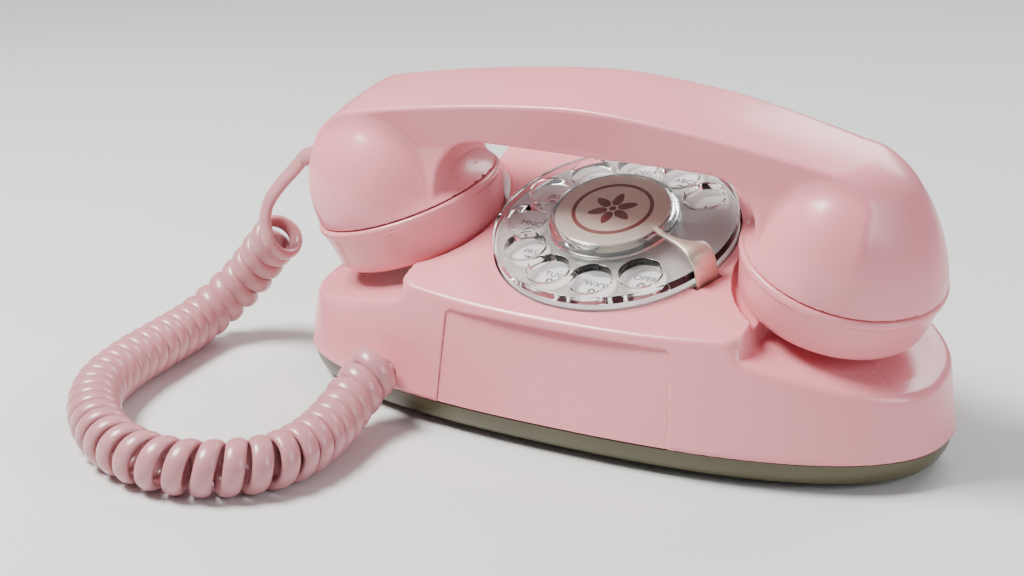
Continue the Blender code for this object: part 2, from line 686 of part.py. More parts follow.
def dome_rings(sign):
    rings = []
    for height, far, near, half in DOME:
        middle = (far + near) / 2
        reach = (far - near) / 2
        ring = []
        for i in range(32):
            angle = 2 * math.pi * (i + 0.5) / 32
            ring.append((sign * (middle + reach * math.cos(angle)), half * math.sin(angle), height))
        rings.append(ring)
    return rings


for side, sign in (("left", -1), ("right", 1)):
    dome = loft(f"add_dome_{side}", dome_rings(sign), cutter=True, matrix=CUPS[side])
    cut(handset_shell, dome, "UNION")
for side in CUPS:
    wide = disc(f"cut_cup_{side}", 25.4, -4, 3.5, steps=28, matrix=CUPS[side], cutter=True)
    deep = disc(f"cut_core_{side}", 19.0, 2, 15, steps=24, matrix=CUPS[side], cutter=True)
    cut(handset_shell, wide)
    cut(handset_shell, deep)
RELIEF_TIP = HANDSET @ Vector((-110.5, -0.5, 5.7))
RELIEF_OUT = (HANDSET.to_3x3() @ Vector((-0.94, 0, -0.34))).normalized()
HAND_RELIEF = toward(RELIEF_TIP, RELIEF_OUT)
cut(handset_shell, disc("cut_hand_relief", 3.6, -19.5, 2, steps=12, matrix=HAND_RELIEF, cutter=True))
lathe(
    "handset_cord_relief",
    [(0, 0), (2.7, 0), (3.3, -9), (3.3, -17.5), (0, -17.5)], CORD_PINK, 14, HAND_RELIEF,
)

CAP_NAMES = {"left": "transmitter_cap", "right": "receiver_cap"}
CAP_PROFILE = [
    (29.9, -0.4), (30.3, -1.0), (30.3, -2.6), (29.6, -3.3), (27.7, -14.2), (26.6, -15.8), (25.2, -CAP_H),
    (0, -CAP_H), (0, -13.8), (24.4, -13.8), (26.2, -0.4),
]
for side, name in CAP_NAMES.items():
    profile = CAP_PROFILE[8:] + CAP_PROFILE[:8]
    cap = lathe(name, profile, PINK, 32, CUPS[side])
    rings = ((6, 6),) if side == "right" else ((5, 5), (12, 9))
    for radius, count in rings:
        for i in range(count):
            at = CUPS[side] @ turn("Z", 360 * i / count + 3.7) @ Matrix.Translation((radius, 0, 0))
            small = disc(f"cut_{name}_{radius}_{i}", 1.2, -20, -10, steps=7, matrix=at, cutter=True)
            cut(cap, small)
lathe(
    "transmitter_unit",
    [(0, -4.2), (17, -4.2), (23.6, -6.4), (23.6, -12), (22, -13.4), (0, -13.4)], SATIN, 22, CUPS["left"],
)
lathe(
    "transmitter_holder",
    [(0, 13), (17, 13), (17, 3.0), (24.8, 3.0), (24.8, -3.8), (0, -3.8)], DARK, 22, CUPS["left"],
)
lathe(
    "receiver_unit",
    [(0, 8), (16, 8), (18, 3), (23.6, 1), (23.6, -12), (22, -13.4), (0, -13.4)], SATIN, 22, CUPS["right"],
)


# Handset cord: fat tubes stand for the coil, thin tubes for its straight ends.
hand_start = RELIEF_TIP + RELIEF_OUT * GAP
tail = smooth_path(
    [hand_start, hand_start + RELIEF_OUT * 4, (-119.4, -7.5, 58.5), (-121.6, -9.5, 52), (-118.3, -10.2, 44.9)], 9
)
tube("handset_cord_tail", tail, CORD_R, CORD_PINK, 2)
coil_route = [
    (-118.4, -6.8, 41), (-123.6, -5.3, 35.6), (-129.3, -5, 28.6), (-135, -6, 21.5), (-141, -10, 14.5),
    (-144.3, -18, 9.8), (-144.3, -28, 8.4), (-142.5, -46, 8.4), (-140.3, -64, 8.4), (-134.5, -83, 8.4),
    (-122, -100, 8.4), (-106, -112.5, 8.4), (-88.4, -118.5, 8.4), (-74, -117, 8.4), (-63, -110.5, 8.4),
    (-56.2, -101, 8.4), (-54.8, -87, 8.4), (-56.8, -72, 8.9), (-58.8, -62, 11), (-59.8, -55, 14.2),
    (-59.6, -50.5, 16.6),
]
tube("handset_cord_coil", smooth_path(coil_route, 26), COIL_R, CORD_PINK, 2)
base_end = CORD_EXIT + CORD_OUT * (2.4 + GAP)
tube("base_cord_tail", [base_end, base_end + CORD_OUT * 3.0], CORD_R, CORD_PINK, 2)
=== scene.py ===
"""Looks of the bedroom rotary telephone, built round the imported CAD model. Lengths here are millimetres."""
import json
import math

import bpy
import numpy as np
from mathutils import Matrix, Vector


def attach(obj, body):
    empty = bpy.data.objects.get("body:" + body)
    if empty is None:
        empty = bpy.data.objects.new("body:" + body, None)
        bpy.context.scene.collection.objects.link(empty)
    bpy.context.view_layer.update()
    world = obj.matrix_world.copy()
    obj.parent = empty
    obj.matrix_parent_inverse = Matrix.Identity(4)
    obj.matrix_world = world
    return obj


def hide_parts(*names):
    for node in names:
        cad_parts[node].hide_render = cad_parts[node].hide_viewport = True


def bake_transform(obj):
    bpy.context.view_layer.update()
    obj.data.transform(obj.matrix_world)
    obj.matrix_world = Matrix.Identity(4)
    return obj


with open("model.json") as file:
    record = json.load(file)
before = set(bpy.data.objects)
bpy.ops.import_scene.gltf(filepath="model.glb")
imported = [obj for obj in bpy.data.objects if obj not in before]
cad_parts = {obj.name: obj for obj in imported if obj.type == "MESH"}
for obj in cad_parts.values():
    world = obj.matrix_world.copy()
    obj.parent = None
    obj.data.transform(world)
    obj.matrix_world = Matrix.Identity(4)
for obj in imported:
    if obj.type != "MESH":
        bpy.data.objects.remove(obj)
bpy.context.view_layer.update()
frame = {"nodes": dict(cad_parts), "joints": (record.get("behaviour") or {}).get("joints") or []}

MM = 0.001
NODES = frame["nodes"]

# Driving sizes, nearly all the same as in the CAD source.
BASE_A, BASE_B, BASE_N = 105.0, 46.4, 2.4
DRAFT = 0.13
SEAM_Z = 9.3
RIM_Z, WELL_TILT, WELL_RISE, WELL_DISH = 30.4, 15.6, 8.4, 1.5
PLATFORM_X, PLATFORM_TILT = 55.0, 21.0
POCKET_X, POCKET_Y, POCKET_R = 71.6, -2.6, 31.3
PANEL_X, PANEL_TOP, PANEL_DEPTH = -0.5, 37.9, 3.2
HANDSET_LEAN, HANDSET_Y, HANDSET_Z = 11.0, -3.5, 60.2
CUP_X, CUP_TILT, SEAM_R, CAP_H = 72.4, 16.3, 29.7, 16.5
CAP_GAP = 0.3
BAND_W, BAND_LEAST_W, BAND_TAPER = 16.5, 13.4, 0.165
ARCH_X, ARCH_Z, ARCH_R = 51.8, 26.7, 15.0
DOME_H = 34.0
WHEEL_R, HOLE_RING_R, HOLE_R = 37.2, 28.0, 6.3
FIRST_HOLE, HOLE_STEP = -50, -30
DIAL_OPENING_R, DIAL_FLOOR = 37.6, -6
STOP_ANGLE = -29.0
PLUNGER_Y, PLUNGER_HOLE_R = -0.5, 3.6
COLLAR_WELL_R, COLLAR_WELL_Z, COLLAR_WELL_HALF = 5.6, 25.5, 9
RELIEF_SOCKET_R, INLET_R = 3.5, 5.0
SLIDER_X, SLIDER_Z = -40, 20.2
COIL_R = 8.2
CORD_WIDE, CORD_THICK, CORD_D = 6.1, 3.3, 4.6
HANDSET_STEP, HANDSET_QUICK_STEP = 0.8, 1.6
HOUSING_STEP, HOUSING_QUICK_STEP = 0.9, 1.8


def turn(axis, degrees):
    return Matrix.Rotation(math.radians(degrees), 4, axis)


def toward(start, direction):
    """A frame at start whose Z points along direction."""
    return Matrix.Translation(start) @ Vector(direction).to_track_quat("Z", "Y").to_matrix().to_4x4()


JOINTS = {joint["name"]: joint for joint in frame["joints"]}
DIAL_AT = Vector(JOINTS["dial_spin"]["pos_m"]) / MM
DIAL = Matrix.Translation(DIAL_AT) @ turn("X", PLATFORM_TILT)
HANDSET = Matrix.Translation((0, HANDSET_Y, HANDSET_Z)) @ turn("X", HANDSET_LEAN)
CUPS = {
    side: HANDSET @ Matrix.Translation((sign * CUP_X, 0, 0)) @ turn("Y", sign * CUP_TILT)
    for side, sign in (("left", -1), ("right", 1))
}
STOP = DIAL @ turn("Z", STOP_ANGLE)
PLUNGER_X = CUP_X - CAP_H * math.sin(math.radians(CUP_TILT))


# Camera, floor and light

CAMERA_AZIMUTH, CAMERA_ELEVATION = math.radians(28.78), math.radians(18.81)
CAMERA_TARGET = Vector((-0.0339, -0.0054, 0.0342))
CAMERA_DISTANCE = 0.6242
CAMERA_LENS = 70.93
LIGHT_TARGET = Vector((0, 0, 0.04))


def add_camera():
    level = math.cos(CAMERA_ELEVATION)
    back = Vector((
        math.sin(CAMERA_AZIMUTH) * level, -math.cos(CAMERA_AZIMUTH) * level, math.sin(CAMERA_ELEVATION)
    ))
    data = bpy.data.cameras.new("camera")
    data.lens = CAMERA_LENS
    data.sensor_width = 36.0
    data.clip_start = 0.01
    camera = bpy.data.objects.new("camera", data)
    bpy.context.scene.collection.objects.link(camera)
    camera.location = CAMERA_TARGET + back * CAMERA_DISTANCE
    camera.rotation_euler = back.to_track_quat("Z", "Y").to_euler()
    bpy.context.scene.camera = camera


def add_light(name, place, size, power, colour=(1.0, 1.0, 1.0)):
    data = bpy.data.lights.new(name, "AREA")
    data.shape = "RECTANGLE"
    data.size, data.size_y = size
    data.energy = power
    data.color = colour
    light = bpy.data.objects.new(name, data)
    bpy.context.scene.collection.objects.link(light)
    light.location = place
    light.rotation_euler = (Vector(place) - LIGHT_TARGET).to_track_quat("Z", "Y").to_euler()


def add_stage():
    half = 3.0
    mesh = bpy.data.meshes.new("floor")
    corners = [(-half, -half, 0), (half, -half, 0), (half, half, 0), (-half, half, 0)]
    mesh.from_pydata(corners, [], [(0, 1, 2, 3)])
    floor = bpy.data.objects.new("floor", mesh)
    bpy.context.scene.collection.objects.link(floor)
    mesh.materials.append(FLOOR)
    world = bpy.data.worlds.new("studio")
    world.use_nodes = True
    background = world.node_tree.nodes["Background"]
    background.inputs["Color"].default_value = (0.92, 0.92, 0.94, 1)
    background.inputs["Strength"].default_value = 0.2
    bpy.context.scene.world = world
    add_light("key", (-0.45, -0.30, 0.80), (0.40, 0.30), 21.0, (1.0, 0.98, 0.95))
    add_light("fill", (0.90, -0.12, 0.42), (0.35, 0.5), 4.0, (0.98, 0.98, 1.0))
    add_light("back", (0.15, 0.75, 0.70), (0.7, 0.3), 6.0)


# Materials, all from nodes

class Shader:
    """A Principled material with a few node helpers."""

    def __init__(self, name, **values):
        self.material = bpy.data.materials.new(name)
        self.material.use_nodes = True
        self.tree = self.material.node_tree
        self.main = self.tree.nodes["Principled BSDF"]
        self.place = self.tree.nodes.new("ShaderNodeTexCoord").outputs["Object"]
        for socket, value in values.items():
            self.main.inputs[socket.replace("_", " ")].default_value = value

    def link(self, output, node, socket):
        self.tree.links.new(output, node.inputs[socket])

    def noise(self, scale, detail=3.0, stretch=None):
        made = self.tree.nodes.new("ShaderNodeTexNoise")
        made.inputs["Scale"].default_value = scale
        made.inputs["Detail"].default_value = detail
        place = self.place
        if stretch:
            mapping = self.tree.nodes.new("ShaderNodeMapping")
            mapping.inputs["Scale"].default_value = stretch
            self.link(self.place, mapping, "Vector")
            place = mapping.outputs["Vector"]
        self.link(place, made, "Vector")
        return made.outputs["Fac"]

    def ramp(self, factor, low, high, low_at=0.3, high_at=0.7):
        made = self.tree.nodes.new("ShaderNodeValToRGB")
        first, last = made.color_ramp.elements
        first.position, last.position = low_at, high_at
        for stop, value in ((first, low), (last, high)):
            stop.color = (*value, 1) if hasattr(value, "__len__") else (value, value, value, 1)
        self.link(factor, made, "Fac")
        return made.outputs["Color"]

    def mix(self, factor, first, second):
        made = self.tree.nodes.new("ShaderNodeMix")
        made.data_type = "RGBA"
        self.link(factor, made, 0)
        self.link(first, made, 6)
        self.link(second, made, 7)
        return made.outputs[2]

    def colour(self, output):
        self.link(output, self.main, "Base Color")

    def roughness(self, output):
        self.link(output, self.main, "Roughness")

    def bump(self, height, strength, distance=0.0002):
        made = self.tree.nodes.new("ShaderNodeBump")
        made.inputs["Strength"].default_value = strength
        made.inputs["Distance"].default_value = distance
        self.link(height, made, "Height")
        self.link(made.outputs["Normal"], self.main, "Normal")


def moulded(name, low, high, rough, grain=900, strength=0.10, **values):
    """Moulded plastic: slow colour drift, fine specks, and a faint skin in the gloss."""
    made = Shader(name, **values)
    drift = made.ramp(made.noise(14, 2), low, high)
    specks = made.ramp(made.noise(1500, 1), [c * 0.86 for c in low], high, 0.24, 0.34)
    made.colour(made.mix(made.ramp(made.noise(60, 3), 0.25, 0.0), drift, specks))
    made.roughness(made.ramp(made.noise(45, 4), rough[0], rough[1]))
    made.bump(made.noise(grain, 2), strength, 0.00005)
    return made.material


def metal(name, low, high, rough, stretch=None, **values):
    """Metal with drawn or rolled grain along one axis."""
    made = Shader(name, Metallic=1.0, **values)
    made.colour(made.ramp(made.noise(30, 3), low, high))
    made.roughness(made.ramp(made.noise(160, 4, stretch), rough[0], rough[1]))
    made.bump(made.noise(500, 3, stretch), 0.06, 0.00002)
    return made.material


def clear(name, tint, rough):
    """Clear acrylic with a trace of handling marks."""
    made = Shader(name, Transmission_Weight=1.0, IOR=1.49)
    made.colour(made.ramp(made.noise(20, 2), tint, (1.0, 1.0, 1.0)))
    made.roughness(made.ramp(made.noise(120, 5), rough[0], rough[1], 0.45, 0.8))
    return made.material


def painted(name, low, high, rough):
    """Enamel on sheet metal, a little uneven."""
    made = Shader(name, Coat_Weight=0.15, Coat_Roughness=0.3)
    made.colour(made.ramp(made.noise(35, 4), low, high))
    made.roughness(made.ramp(made.noise(90, 3), rough[0], rough[1]))
    made.bump(made.noise(700, 3), 0.25, 0.00006)
    return made.material


def paper(name, low, high):
    """Printed card, with its fibres as a fine bump."""
    made = Shader(name)
    made.colour(made.ramp(made.noise(70, 5), low, high))
    made.roughness(made.ramp(made.noise(200, 2), 0.55, 0.7))
    made.bump(made.noise(2500, 2), 0.2, 0.00003)
    return made.material


def studio_floor():
    made = Shader("studio_floor")
    made.colour(made.ramp(made.noise(6, 2), (0.70, 0.70, 0.70), (0.72, 0.72, 0.72)))
    made.main.inputs["Roughness"].default_value = 0.65
    return made.material


PINK = moulded("pink_plastic", (0.80, 0.262, 0.305), (0.825, 0.287, 0.33), (0.26, 0.35),
               Coat_Weight=0.25, Coat_Roughness=0.15)
CORD_PINK = moulded("cord_pink_vinyl", (0.50, 0.215, 0.235), (0.55, 0.245, 0.265), (0.24, 0.34), 500, 0.2,
                    Coat_Weight=0.25, Coat_Roughness=0.2)
OLIVE = painted("olive_enamel", (0.066, 0.06, 0.027), (0.086, 0.078, 0.036), (0.33, 0.45))
CLEAR = clear("clear_acrylic", (0.97, 0.985, 0.98), (0.0, 0.03))
PLATE = moulded("number_plate_white", (0.74, 0.75, 0.74), (0.80, 0.81, 0.80), (0.14, 0.22), Coat_Weight=0.4)
INK = moulded("dark_ink", (0.035, 0.035, 0.04), (0.05, 0.05, 0.055), (0.4, 0.5))
CARD = paper("cream_card", (0.86, 0.77, 0.64), (0.91, 0.83, 0.71))
MAROON = paper("maroon_print", (0.20, 0.055, 0.045), (0.25, 0.075, 0.06))
SATIN = metal("satin_nickel", (0.70, 0.64, 0.53), (0.78, 0.72, 0.61), (0.36, 0.46))
STEEL = metal("plated_steel", (0.52, 0.52, 0.51), (0.62, 0.62, 0.60), (0.28, 0.42), (1, 1, 10))
BRASS = metal("brass", (0.62, 0.42, 0.16), (0.70, 0.50, 0.22), (0.25, 0.38))
COPPER = metal("enamelled_copper", (0.50, 0.18, 0.08), (0.60, 0.24, 0.11), (0.3, 0.45), (1, 1, 30))
RUBBER = moulded("black_rubber", (0.018, 0.018, 0.018), (0.03, 0.03, 0.03), (0.65, 0.8), 700, 0.4)
DARK = moulded("dark_plastic", (0.03, 0.03, 0.033), (0.045, 0.045, 0.05), (0.4, 0.55))
WHITE = moulded("white_plastic", (0.66, 0.65, 0.60), (0.72, 0.71, 0.67), (0.3, 0.4))
FLOOR = studio_floor()


# Mesh helpers

def add_piece(name, mesh, look, body, replaced, matrix=None):
    """A visible piece from a mesh in millimetres, riding on the body if one is named."""
    made = bpy.data.objects.new(name, mesh)
    bpy.context.scene.collection.objects.link(made)
    mesh.materials.clear()
    mesh.materials.append(look)
    if matrix is not None:
        mesh.transform(matrix)
    mesh.transform(Matrix.Scale(MM, 4))
    if body:
        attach(made, body)
    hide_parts(*replaced)
    return made


def soften(mesh, degrees=35):
    """Smooth shading that keeps edges sharper than this."""
    mesh.polygons.foreach_set("use_smooth", [True] * len(mesh.polygons))
    mesh.set_sharp_from_angle(angle=math.radians(degrees))


def mesh_of(vertices, faces, degrees=35):
    mesh = bpy.data.meshes.new("piece")
    mesh.from_pydata([tuple(v) for v in vertices], [], [tuple(f) for f in faces])
    mesh.update()
    soften(mesh, degrees)
    return mesh


def lathe(profile, steps=128, degrees=35):
    """Turns (radius, height) points round Z: down the outer side from axis to axis, or a closed ring off it."""
    inner = [point for point in profile if point[0] > 1e-6]
    vertices, faces = [], []
    for k in range(steps):
        angle = 2 * math.pi * k / steps
        vertices += [(r * math.cos(angle), r * math.sin(angle), h) for r, h in inner]
    size = len(inner)
    ring = profile[0][0] > 1e-6
    for k in range(steps):
        a, b = k * size, (k + 1) % steps * size
        for i in range(size if ring else size - 1):
            j = (i + 1) % size
            faces.append((a + i, a + j, b + j, b + i))
    if not ring:
        for end, row, flip in ((profile[0], 0, False), (profile[-1], size - 1, True)):
            vertices.append((0, 0, end[1]))
            for k in range(steps):
                corner = (len(vertices) - 1, k * size + row, (k + 1) % steps * size + row)
                faces.append(corner[::-1] if flip else corner)
    return mesh_of(vertices, faces, degrees)


def rounded(profile, radius, steps=4):
    """The profile with each inner corner turned into an arc of up to this radius."""
    made = [profile[0]]
    for before, here, after in zip(profile, profile[1:], profile[2:]):
        p, q, r = (Vector(point) for point in (before, here, after))
        reach = min(radius, (p - q).length * 0.45, (r - q).length * 0.45)
        first, last = q + (p - q).normalized() * reach, q + (r - q).normalized() * reach
        for k in range(steps + 1):
            t = k / steps
            made.append(tuple(first * (1 - t) ** 2 + q * 2 * t * (1 - t) + last * t * t))
    made.append(profile[-1])
    return made


def loft(rings, degrees=35):
    """A closed solid through rings of equally many points."""
    size = len(rings[0])
    vertices = [point for ring in rings for point in ring]
    faces = []
    for k in range(len(rings) - 1):
        for i in range(size):
            j = (i + 1) % size
            faces.append((k * size + i, k * size + j, (k + 1) * size + j, (k + 1) * size + i))
    faces.append(tuple(range(size))[::-1])
    faces.append(tuple(range((len(rings) - 1) * size, len(rings) * size)))
    return mesh_of(vertices, faces, degrees)


def smooth_path(points, step):
    """Points about a step apart on a Catmull-Rom curve through the given points."""
    line = smooth_curve([tuple(point) for point in points], 24)
    length = np.concatenate([[0], np.cumsum(np.linalg.norm(np.diff(line, axis=0), axis=1))])
    wanted = np.linspace(0, length[-1], int(length[-1] / step) + 1)
    return np.stack([np.interp(wanted, length, line[:, k]) for k in range(3)], 1)


def smooth_curve(points, steps):
    """The points as rows of numbers, with this many steps between each pair on a Catmull-Rom curve."""
    rows = np.array(points, float)
    rows = np.concatenate([[2 * rows[0] - rows[1]], rows, [2 * rows[-1] - rows[-2]]])
    dense = []
    for p, q, r, s in zip(rows, rows[1:], rows[2:], rows[3:]):
        for k in range(steps):
            t = k / steps
            dense.append(
                0.5 * (2 * q + (r - p) * t + (2 * p - 5 * q + 4 * r - s) * t * t
                       + (3 * q - p - 3 * r + s) * t**3)
            )
    return np.array([*dense, rows[-2]])


def oval_tube(path, across, sides=16):
    """An oval tube along the points, its short axis the nearest it can be to the given directions."""
    along = np.gradient(path, axis=0)
    along /= np.linalg.norm(along, axis=1)[:, None]
    angles = 2 * np.pi * np.arange(sides) / sides
    rings = []
    for centre, direction, short in zip(path, along, across):
        short = short - direction * (short @ direction)
        short /= np.linalg.norm(short)
        wide = np.cross(direction, short)
        rings.append(
            centre + CORD_THICK / 2 * np.cos(angles)[:, None] * short
            + CORD_WIDE / 2 * np.sin(angles)[:, None] * wide
        )
    first = path[0] + (rings[0] - path[0]) * 0.6 - along[0] * 0.3
    last = path[-1] + (rings[-1] - path[-1]) * 0.6 + along[-1] * 0.3
    return loft([first, *rings, last], degrees=60)


# The cord comes first: thin tails, and a helix round the route that the CAD's fat tube follows.

def front_wall_y(x, z):
    inset = DRAFT * (z - SEAM_Z)
    return -(BASE_B - inset) * (1 - abs(x / (BASE_A - inset)) ** BASE_N) ** (1 / BASE_N)


RELIEF_TIP = HANDSET @ Vector((-110.5, -0.5, 5.7))
RELIEF_OUT = (HANDSET.to_3x3() @ Vector((-0.94, 0, -0.34))).normalized()
CORD_EXIT = Vector((-57.5, front_wall_y(-57.5, 14), 14))
CORD_OUT = Vector((-0.2, -0.98, 0.0)).normalized()
HAND_RELIEF = toward(RELIEF_TIP, RELIEF_OUT)
BASE_RELIEF = toward(CORD_EXIT, CORD_OUT)
COIL_ROUTE = [
    (-117.8, -7.2, 39.8), (-123.2, -5.6, 36.0), (-129.0, -5, 29.2), (-135, -6, 21.5), (-141, -10, 14.5),
    (-144.3, -18, 9.8), (-144.3, -28, 8.4), (-142.5, -46, 8.4), (-140.3, -64, 8.4), (-134.5, -83, 8.4),
    (-122, -100, 8.4), (-106, -112.5, 8.4), (-88.4, -118.5, 8.4), (-74, -117, 8.4), (-63, -110.5, 8.4),
    (-56.2, -101, 8.4), (-54.8, -87, 8.4), (-56.8, -72, 8.9), (-58.4, -62, 10.8), (-58.0, -54, 14.2),
    (-56.6, -46.4, 19.2),
]
# The side of the axis that the first turn starts on.
FIRST_SIDE = (-0.58, -0.695, 0.424)
# Millimetres a turn, by the share of the coil's length.
PITCH_AT = [0, 0.15, 0.22, 0.48, 0.58, 0.66, 0.80, 1]
PITCHES = [6.8, 6.8, 6.1, 6.3, 7.4, 7.4, 6.3, 6.8]
END_EASE = 1.6
TAIL_STEP = 0.6
CORD_POINT_GAP = 1.25
TAIL_ROUTE = [(-113.6, -6.0, 61.9), (-117.2, -8.0, 57.4), (-120.6, -9.8, 52.2), (-121.9, -11.0, 47.8)]


def coil_path():
    """The coiled cord's centreline, wound left-handed, and at each point the way out from the coil's axis."""
    core = smooth_path(COIL_ROUTE, 0.12)
    along = np.gradient(core, axis=0)
    step = np.linalg.norm(along, axis=1)
    along /= step[:, None]
    distance = np.cumsum(step)
    total = distance[-1]
    share = distance / total
    angle = 2 * np.pi * np.cumsum(step / np.interp(share, PITCH_AT, PITCHES))
    # Turns the last ring so that it lies over the relief.
    angle -= np.pi / 2 * share**2
    ease = np.clip((total - distance) / END_EASE, 0, 1)
    reach = (COIL_R - CORD_THICK / 2) * np.sqrt(ease * (2 - ease))
    side = np.array(FIRST_SIDE)
    points, out = [], []
    for centre, direction, turned, radius in zip(core, along, angle, reach):
        side = side - direction * (side @ direction)
        side /= np.linalg.norm(side)
        other = np.cross(direction, side)
        out.append(np.cos(turned) * side - np.sin(turned) * other)
        points.append(centre + radius * out[-1])
    return np.array(points), np.array(out)


def add_reliefs():
    """The sleeves at the cord's two ends."""
    hand = [(0, 0.2), (2.5, 0.2), (2.9, -0.6), (3.2, -6), (3.3, -17.5), (0, -17.5)]
    base = [(0, 2.6), (2.5, 2.6), (3.0, 1.6), (3.2, 0.4), (3.1, -2.9), (4.6, -2.9), (4.6, -4.6), (0, -4.6)]
    return [
        add_piece(name, lathe(rounded(profile, 0.5), 48), CORD_PINK, body, (node,), matrix)
        for name, profile, matrix, body, node in (
            ("handset_relief_sleeve", hand, HAND_RELIEF, "handset", "handset_cord_relief"),
            ("base_relief_sleeve", base, BASE_RELIEF, "base", "base_cord_relief"),
        )
    ]


def add_cord():
    start = RELIEF_TIP + RELIEF_OUT * 0.3
    end = CORD_EXIT + CORD_OUT * 2.9
    helix, out = coil_path()
    # The tail's curve runs on into the coil, to leave it in line, and is cut where the coil begins.
    tail = smooth_path([start, *TAIL_ROUTE, helix[0], helix[20]], TAIL_STEP)
    tail = tail[:int(np.linalg.norm(tail - helix[0], axis=1).argmin())]
    last = smooth_path([helix[-1], end + CORD_OUT * 1.5, end], TAIL_STEP)[1:]
    route = np.concatenate([tail, helix, last])
    across = np.concatenate([np.repeat(out[:1], len(tail), 0), out, np.repeat(out[-1:], len(last), 0)])
    kept = [0]
    for i in range(1, len(route)):
        if np.linalg.norm(route[i] - route[kept[-1]]) > CORD_POINT_GAP:
            kept.append(i)
    line = route[kept]
    cord = add_piece(
        "handset_cord", oval_tube(line, across[kept]), CORD_PINK, None,
        ("handset_cord_coil", "handset_cord_tail", "base_cord_tail"),
    )
    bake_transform(cord)
    add_reliefs()


# Shapes too soft for turning or lofting: a distance-like field, cut into quads with its edges kept.

def round_max(a, b, radius):
    """Both solids' common part, its edge an arc of the radius."""
    return np.minimum(np.maximum(a, b), -radius) + np.hypot(
        np.maximum(a + radius, 0), np.maximum(b + radius, 0)
    )


def round_min(a, b, radius):
    """Both solids together, the corner between them filled with an arc of the radius."""
    return -round_max(-a, -b, radius)


def soft_min(a, b, width):
    """Both solids together, flowing into each other over the width."""
    blend = np.clip(0.5 + 0.5 * (b - a) / width, 0, 1)
    return b + (a - b) * blend - width * blend * (1 - blend)


def local(points, matrix):
    """The points in the matrix's own frame."""
    inverse = np.array(matrix.inverted())
    return points @ inverse[:3, :3].T + inverse[:3, 3]


def gradient(field, points, reach=0.02):
    """The field's unit direction of growth at each point."""
    found = np.empty_like(points)
    for k in range(3):
        ahead, behind = points.copy(), points.copy()
        ahead[:, k] += reach
        behind[:, k] -= reach
        found[:, k] = field(ahead) - field(behind)
    return found / np.maximum(np.linalg.norm(found, axis=1), 1e-12)[:, None]


def crossings(field, value, low, step, axis):
    """Where the grid's edges along the axis cross the surface: lower corners, points and signs."""
    size = value.shape[axis]
    before = np.take(value, range(size - 1), axis)
    after = np.take(value, range(1, size), axis)
    index = np.argwhere((before < 0) != (after < 0))
    a, b = before[tuple(index.T)], after[tuple(index.T)]
    start = low + index * step
    near, far = np.zeros(len(a)), np.ones(len(a))
    signs = a < 0
    for _ in range(4):
        share = near + (far - near) * np.clip(a / (a - b), 0.02, 0.98)
        point = start.copy()
        point[:, axis] += share * step
        middle = field(point)
        same = (middle < 0) == signs
        near, a = np.where(same, share, near), np.where(same, middle, a)
        far, b = np.where(same, far, share), np.where(same, b, middle)
    point[:, axis] = start[:, axis] + (near + (far - near) * a / (a - b)) * step
    return index, point, signs


def contour(field, low, high, step):
    """Dual contouring of the field's zero surface in the box: vertices, which sit on its edges, and quads."""
    low = np.array(low, float)
    counts = [int(math.ceil((b - a) / step)) + 1 for a, b in zip(low, high)]
    axes = [a + step * np.arange(n) for a, n in zip(low, counts)]
    value = np.concatenate([
        field(np.stack(np.meshgrid([x], axes[1], axes[2], indexing="ij"), -1).reshape(-1, 3))
        for x in axes[0]
    ]).reshape(counts)
    quads, owners, places, normals = [], [], [], []
    for axis in range(3):
        index, point, signs = crossings(field, value, low, step, axis)
        one, two = [k for k in range(3) if k != axis]
        inside = np.all(index[:, [one, two]] > 0, axis=1) & np.all(
            index[:, [one, two]] < np.array(counts)[[one, two]] - 1, axis=1
        )
        index, point, signs = index[inside], point[inside], signs[inside]
        ring = []
        for a, b in ((0, 0), (-1, 0), (-1, -1), (0, -1)):
            cell = index.copy()
            cell[:, one] += a
            cell[:, two] += b
            ring.append(np.ravel_multi_index(cell.T, counts))
        ring = np.stack(ring, 1)
        flip = signs if axis == 1 else ~signs
        ring[flip] = ring[flip][:, ::-1]
        quads.append(ring)
        across = gradient(field, point)
        for k in range(4):
            owners.append(ring[:, k])
            places.append(point)
            normals.append(across)
    owners, places, normals = map(np.concatenate, (owners, places, normals))
    cells, owner = np.unique(owners, return_inverse=True)
    count = np.bincount(owner)
    middle = np.stack([np.bincount(owner, places[:, k]) / count for k in range(3)], 1)
    offset = np.einsum("ij,ij->i", normals, places - middle[owner])
    matrix = np.empty((len(cells), 3, 3))
    right = np.empty((len(cells), 3))
    for i in range(3):
        right[:, i] = np.bincount(owner, normals[:, i] * offset)
        for j in range(3):
            matrix[:, i, j] = np.bincount(owner, normals[:, i] * normals[:, j])
    matrix += 0.02 * np.eye(3)
    shift = np.linalg.solve(matrix, right[:, :, None])[:, :, 0]
    corner = low + np.stack(np.unravel_index(cells, counts), 1) * step
    vertices = np.clip(middle + shift, corner - 0.1 * step, corner + 1.1 * step)
    lookup = np.searchsorted(cells, np.concatenate(quads))
    return vertices, lookup


def field_mesh(field, low, high, step):
    """The field's surface as a mesh, its shading read off the field, apart on each side of a sharp edge."""
    vertices, quads = contour(field, low, high, step)
    mesh = bpy.data.meshes.new("piece")
    mesh.from_pydata(vertices.tolist(), [], quads.tolist())
    mesh.polygons.foreach_set("use_smooth", [True] * len(mesh.polygons))
    corners = vertices[quads]
    centre = corners.mean(axis=1, keepdims=True)
    at_corner = gradient(field, corners.reshape(-1, 3), 0.05)
    towards = gradient(field, (corners + (centre - corners) * 0.5).reshape(-1, 3), 0.05)
    agree = np.einsum("ij,ij->i", at_corner, towards) > 0.94
    normal = np.where(agree[:, None], at_corner, towards)
    mesh.normals_split_custom_set(normal.tolist())
    return mesh


# Handset shell

